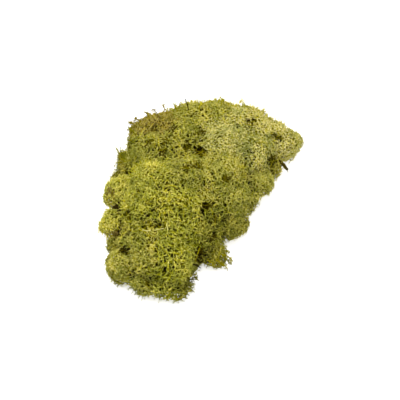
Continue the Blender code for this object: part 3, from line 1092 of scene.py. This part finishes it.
def lichen_material(name, colours):
    """Glycerine-preserved, dyed lichen: matt, felted twigs that go from dead brown to a pale tip."""
    material, tree = blank_material(name)
    age = add_node(tree, "Attribute", attribute_name="age").outputs["Fac"]
    tint = add_node(tree, "Attribute", attribute_name="tint").outputs["Fac"]
    ageing = add_node(tree, "ValToRGB", {"Fac": age})
    set_stops(ageing, list(zip(AGE_STOPS, map(linear, colours))))
    # Low tints give painted shade; higher ones give the fresh, bleached and rusty dye.
    dye_and_shade = add_node(tree, "ValToRGB", {"Fac": tint})
    set_stops(dye_and_shade, [(place, (*shade, 1)) for place, shade in DYE_AND_SHADE])
    dyed_and_shaded = add_node(tree, "VectorMath", {0: ageing, 1: dye_and_shade}, operation="MULTIPLY")
    spots = add_node(tree, "TexCoord").outputs["Object"]
    # Dye takes unevenly along a twig, in flecks of about a millimetre.
    flecks = add_node(tree, "TexNoise", {"Vector": spots, "Scale": 1 / (1.2 * MM), "Detail": 2.0})
    reach = {"From Min": 0.3, "From Max": 0.7, "To Min": 1.1, "To Max": 1.75}
    fleck_light = add_node(tree, "MapRange", {"Value": flecks, **reach})
    colour = add_node(tree, "VectorMath", {0: dyed_and_shaded, "Scale": fleck_light}, operation="SCALE")
    felt = add_node(tree, "TexNoise", {"Vector": spots, "Scale": 1 / (0.4 * MM), "Detail": 1.0})
    shine = {"Base Color": colour, "Roughness": 0.9, "Specular IOR Level": 0.02}
    finish_surface(tree, felt, 0.35, 0.1 * MM, shine)
    return material


def old_stem_material():
    """Dead, weathered podetia: brown-grey, dry and matt, a little paler where the bark has worn off."""
    return lichen_material("dead_podetia_weathered", ("#2b2015", "#4a3a26", "#6f5c40", "#94815c"))


def litter_material():
    """Broken, half-rotted lichen: crumbly and dull, from near black to a dry brown."""
    material, tree = blank_material("lichen_litter_crumbled")
    spots = add_node(tree, "TexCoord").outputs["Object"]
    crumbs = add_node(tree, "TexVoronoi", {"Vector": spots, "Scale": 1 / (1.8 * MM)})
    damp = add_node(tree, "TexNoise", {"Vector": spots, "Scale": 1 / (9 * MM), "Detail": 3.0})
    mixed = add_node(tree, "Math", {0: crumbs, 1: damp}, operation="MULTIPLY")
    rot = add_node(tree, "ValToRGB", {"Fac": mixed})
    set_stops(rot, [(0, linear("#1c140c")), (0.6, linear("#5e4c30"))])
    shine = {"Base Color": rot, "Roughness": 0.95, "Specular IOR Level": 0.2}
    finish_surface(tree, crumbs, 0.8, 0.6 * MM, shine)
    return material


def floor_material():
    """A matt white light table, whose own glow leaves only a faint shadow under the clump."""
    material, tree = blank_material("light_table_matt")
    spots = add_node(tree, "TexCoord").outputs["Object"]
    # Paper tooth, drawn at 3 mm because the real 0.2 mm is too fine to show.
    tooth = add_node(tree, "TexNoise", {"Vector": spots, "Scale": 1 / (3 * MM)})
    glow = {"Emission Color": linear("#ffffff"), "Emission Strength": TABLE_GLOW}
    shine = {"Base Color": linear("#f6f5f2"), "Roughness": 0.9, **glow}
    finish_surface(tree, tooth, 0.03, 0.1 * MM, shine)
    return material


class MOSS_OT_heads(bpy.types.Operator):
    """Grow the fine twigs of every head in place of its plain solid"""

    bl_idname = "moss.heads"
    bl_label = "Grow Heads"

    def execute(self, context):
        growth = context.scene.moss_growth
        names = sorted(n for n in frame["nodes"] if n.startswith(HEAD_PREFIX))
        if not names:
            raise RuntimeError("the frame has no heads")
        outlines = {}
        for name in [*names, MAT_NODE]:
            fill = RIM_FILL if name.startswith(RIM_HEADS) else CREASE_FILL
            outlines[name] = Outline(frame["nodes"][name].data, fill)
        clump = Clump(list(outlines.values()))
        slots = {part["node"]: part["material_slot"] for part in frame["record"]["subparts"]}
        materials = {s: lichen_material(f"{s}_preserved_dyed", c) for s, c in LICHEN_SLOTS.items()}
        view = View(context.scene.moss_stage)
        plan, patches = plan_growth(names, outlines, clump, growth, view)
        for name in names:
            twigs = grow_head(name, outlines[name], plan[name], patches, growth, view, clump)
            piece = twigs.object(name.replace(HEAD_PREFIX, "lichen_"), materials[slots[name]])
            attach(piece, BODY)
            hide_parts(name)
        return {"FINISHED"}


class MOSS_OT_old_stems(bpy.types.Operator):
    """Lay the old brown stems over the mat that the heads grow from"""

    bl_idname = "moss.old_stems"
    bl_label = "Lay Old Stems"

    def execute(self, context):
        growth = context.scene.moss_growth
        rng = np.random.default_rng([growth.seed, 2])
        mat = frame["nodes"][MAT_NODE].data
        places = [v.co for v in mat.vertices]
        tree = BVHTree.FromPolygons(places, [p.vertices[:] for p in mat.polygons])
        mat.calc_loop_triangles()
        corners = np.array([[places[i] for i in t.vertices] for t in mat.loop_triangles])
        edges = corners[:, 1:] - corners[:, :1]
        area = size(np.cross(edges[:, 0], edges[:, 1]))
        count = int(area.sum() / 2 / OLD_STEM_SPACING**2)
        chosen = rng.choice(len(area), count, p=area / area.sum())
        mix = rng.dirichlet((1, 1, 1), count)
        starts = (corners[chosen] * mix[:, :, None]).sum(1)
        paths = np.array([laid_path(Vector(start), tree, rng) for start in starts])
        twigs = Twigs(rng)
        width = rng.uniform(0.8, 1.7, (count, 1)) * MM
        taper = np.linspace(1, 0.55, paths.shape[1])[None]
        age = rng.normal(0.35, 0.16, (count, 1)) + np.linspace(-0.1, 0.15, paths.shape[1])
        twigs.add(paths, width * taper, age.clip(0.02, 0.98), rng.uniform(0.1, 0.9, count), True)
        stems = twigs.object("old_stems", old_stem_material())
        for piece in (stems, litter_bed(mat)):
            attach(piece, BODY)
            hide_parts(MAT_NODE)
        return {"FINISHED"}


def litter_bed(mat):
    """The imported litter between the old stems: the mat drawn in a little, with a crumbled surface."""
    shape = bmesh.new()
    shape.from_mesh(mat)
    bmesh.ops.remove_doubles(shape, verts=shape.verts, dist=0.01 * MM)
    for _ in range(3):
        long = [e for e in shape.edges if e.calc_length() > LITTER_EDGE]
        bmesh.ops.subdivide_edges(shape, edges=long, cuts=1)
        bmesh.ops.triangulate(shape, faces=[f for f in shape.faces if len(f.verts) > 3])
    shape.normal_update()
    places = np.array([v.co for v in shape.verts])
    ways = np.array([v.normal for v in shape.verts])
    crumb = swell(places, 6 * MM, 7) * 0.5 + swell(places, 2.5 * MM, 8) * 0.4
    places = above_floor(places - ways * (2.2 - crumb[:, None]) * MM, 0.8 * MM)
    for vertex, place in zip(shape.verts, places):
        vertex.co = place
    piece = shape_object(shape, "litter_bed", litter_material())
    piece.data.shade_smooth()
    return piece


def laid_path(start, surface, rng, steps=6, length=20 * MM):
    """A stem that creeps along the mat's surface, mostly outwards from its middle."""
    outward = Vector((start.x + 8 * MM, start.y, 0)).normalized()
    way = outward + Vector(rng.normal(0, 0.7, 3))
    path = []
    spot = start
    for _ in range(steps):
        near, normal, _, _ = surface.find_nearest(spot)
        lift = rng.uniform(0.2, 1.6) * MM
        spot = near + normal * lift
        spot.z = max(spot.z, 0.9 * MM)
        path.append(list(spot))
        way = (way - normal * way.dot(normal)).normalized()
        way = (way + Vector(rng.normal(0, 0.25, 3))).normalized()
        spot = spot + way * length / (steps - 1)
    return path


class MOSS_OT_stage(bpy.types.Operator):
    """Set up the floor, the soft lights and the camera"""

    bl_idname = "moss.stage"
    bl_label = "Set Stage"

    def execute(self, context):
        stage = context.scene.moss_stage
        scene = context.scene
        scene.view_settings.view_transform = "Standard"
        shape = bmesh.new()
        bmesh.ops.create_grid(shape, x_segments=4, y_segments=4, size=3)
        shape_object(shape, "studio_floor", floor_material())

        scene.world = bpy.data.worlds.new("studio_white")
        scene.world.use_nodes = True
        tree = scene.world.node_tree
        tree.nodes.clear()
        white = {"Color": linear("#ffffff"), "Strength": stage.fill}
        sky = add_node(tree, "Background", white)
        add_node(tree, "OutputWorld", {"Surface": sky})

        add_light("key_softbox", (-0.3, 0.18, 1.15), 1.1, stage.key_power)
        add_light("side_softbox", (0.8, -0.3, 0.8), 1.2, SIDE_SHARE * stage.key_power)

        camera_data = bpy.data.cameras.new("camera")
        camera_data.lens = stage.lens
        camera_data.sensor_width = SENSOR / MM
        camera_data.clip_end = 20
        camera = bpy.data.objects.new("camera", camera_data)
        camera.location = View(stage).place
        camera.rotation_euler = Euler((math.pi / 2 - stage.elevation, 0, 0))
        scene.collection.objects.link(camera)
        scene.camera = camera
        return {"FINISHED"}


def add_light(name, place, size, power):
    """A square softbox that faces the clump."""
    light = bpy.data.lights.new(name, "AREA")
    light.shape = "SQUARE"
    light.size = size
    light.energy = power
    lamp = bpy.data.objects.new(name, light)
    lamp.location = place
    lamp.rotation_euler = (-Vector(place)).to_track_quat("-Z", "Y").to_euler()
    bpy.context.scene.collection.objects.link(lamp)


class MOSS_PT_panel(bpy.types.Panel):
    """Sizes and steps of the moss clump"""

    bl_idname = "MOSS_PT_panel"
    bl_label = "Reindeer Moss"
    bl_space_type = "VIEW_3D"
    bl_region_type = "UI"
    bl_category = "Moss"

    def draw(self, context):
        for group in (context.scene.moss_growth, context.scene.moss_stage):
            box = self.layout.box()
            for name in group.__annotations__:
                box.prop(group, name)
        for step in STEPS:
            self.layout.operator(step.bl_idname)


STEPS = (MOSS_OT_stage, MOSS_OT_heads, MOSS_OT_old_stems)
CLASSES = (MossGrowth, MossStage, *STEPS, MOSS_PT_panel)


def register():
    for each in CLASSES:
        bpy.utils.register_class(each)
    bpy.types.Scene.moss_growth = bpy.props.PointerProperty(type=MossGrowth)
    bpy.types.Scene.moss_stage = bpy.props.PointerProperty(type=MossStage)


def unregister():
    del bpy.types.Scene.moss_stage
    del bpy.types.Scene.moss_growth
    for each in reversed(CLASSES):
        bpy.utils.unregister_class(each)


def main():
    register()
    bpy.ops.moss.stage()
    bpy.ops.moss.heads()
    bpy.ops.moss.old_stems()


if __name__ == "__main__":
    main()
